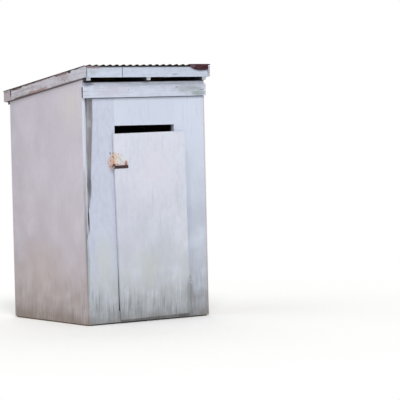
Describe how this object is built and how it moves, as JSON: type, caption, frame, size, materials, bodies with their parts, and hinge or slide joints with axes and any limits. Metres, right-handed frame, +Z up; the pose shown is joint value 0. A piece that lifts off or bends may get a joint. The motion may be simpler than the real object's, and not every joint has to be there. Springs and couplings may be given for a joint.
{
  "type": "wooden outhouse",
  "caption": "Small painted plywood outhouse with a hinged overlay door, hasp, slot over the door and a corrugated lean-to roof.",
  "frame": {"origin": "on the ground under the middle of the roof", "axes": "+Z up, the door side faces -Y, +X to the right of someone facing the door"},
  "size_m": [1.2862, 1.379, 2.1953],
  "materials": {
    "sawn_timber": "rough-sawn softwood, unpainted, dusty",
    "painted_plywood": "old flat white paint, dirt streaks and mildew",
    "weathered_timber": "bare weathered grey wood",
    "rusty_sheet": "weathered galvanised corrugated steel, rust-stained",
    "maroon_sheet": "old maroon paint over rust, scuffed to pinkish brown",
    "painted_hinge": "steel under white paint, rusty at the joint",
    "rusty_iron": "rusted iron"
  },
  "bodies": {
    "hut": {"skid_left": "sawn_timber", "skid_centre": "sawn_timber", "skid_right": "sawn_timber", "floor_deck": "sawn_timber", "corner_post_front_right": "sawn_timber", "corner_post_back_left": "sawn_timber", "corner_post_back_right": "sawn_timber", "door_stud_left": "sawn_timber", "door_stud_right": "sawn_timber", "door_head": "sawn_timber", "front_plate": "sawn_timber", "back_plate": "sawn_timber", "side_girt_left": "sawn_timber", "side_girt_right": "sawn_timber", "rafter_left": "sawn_timber", "rafter_centre": "sawn_timber", "rafter_right": "sawn_timber", "purlin_front": "sawn_timber", "purlin_middle": "sawn_timber", "purlin_back": "sawn_timber", "left_wall": "painted_plywood", "right_wall": "painted_plywood", "back_wall": "painted_plywood", "front_wall_left": "painted_plywood", "front_wall_right": "painted_plywood", "front_wall_top": "painted_plywood", "front_wall_sill": "painted_plywood", "header_board": "painted_plywood", "front_fascia": "painted_plywood", "back_fascia": "painted_plywood", "rake_board_left": "painted_plywood", "rake_end_left": "painted_plywood", "rake_board_right": "painted_plywood", "corner_post_front_left": "weathered_timber", "roof_sheet_left": "rusty_sheet", "roof_sheet_right": "rusty_sheet", "roof_corner_flap": "maroon_sheet", "hinge_wall_leaf_lower": "painted_hinge", "hinge_wall_leaf_upper": "painted_hinge", "hasp_staple": "rusty_iron"},
    "door": {"door_panel": "painted_plywood", "door_batten_lower": "sawn_timber", "door_batten_upper": "sawn_timber", "hinge_door_leaf_lower": "painted_hinge", "hinge_door_leaf_upper": "painted_hinge", "hasp_plate": "rusty_iron"},
    "hasp": {"hasp_strap": "rusty_iron"}
  },
  "joints": [
    {"name": "door_hinge", "type": "hinge", "parent": "hut", "child": "door", "pos_m": [0.417, -0.6145, 0.0401], "axis": [-0.014, 0, 0.9999], "range_deg": [0, 100]},
    {"name": "hasp_hinge", "type": "hinge", "parent": "door", "child": "hasp", "pos_m": [-0.23756, -0.637, 1.32908], "axis": [-0.014, 0, 0.9999], "range_deg": [0, 170]}
  ]
}
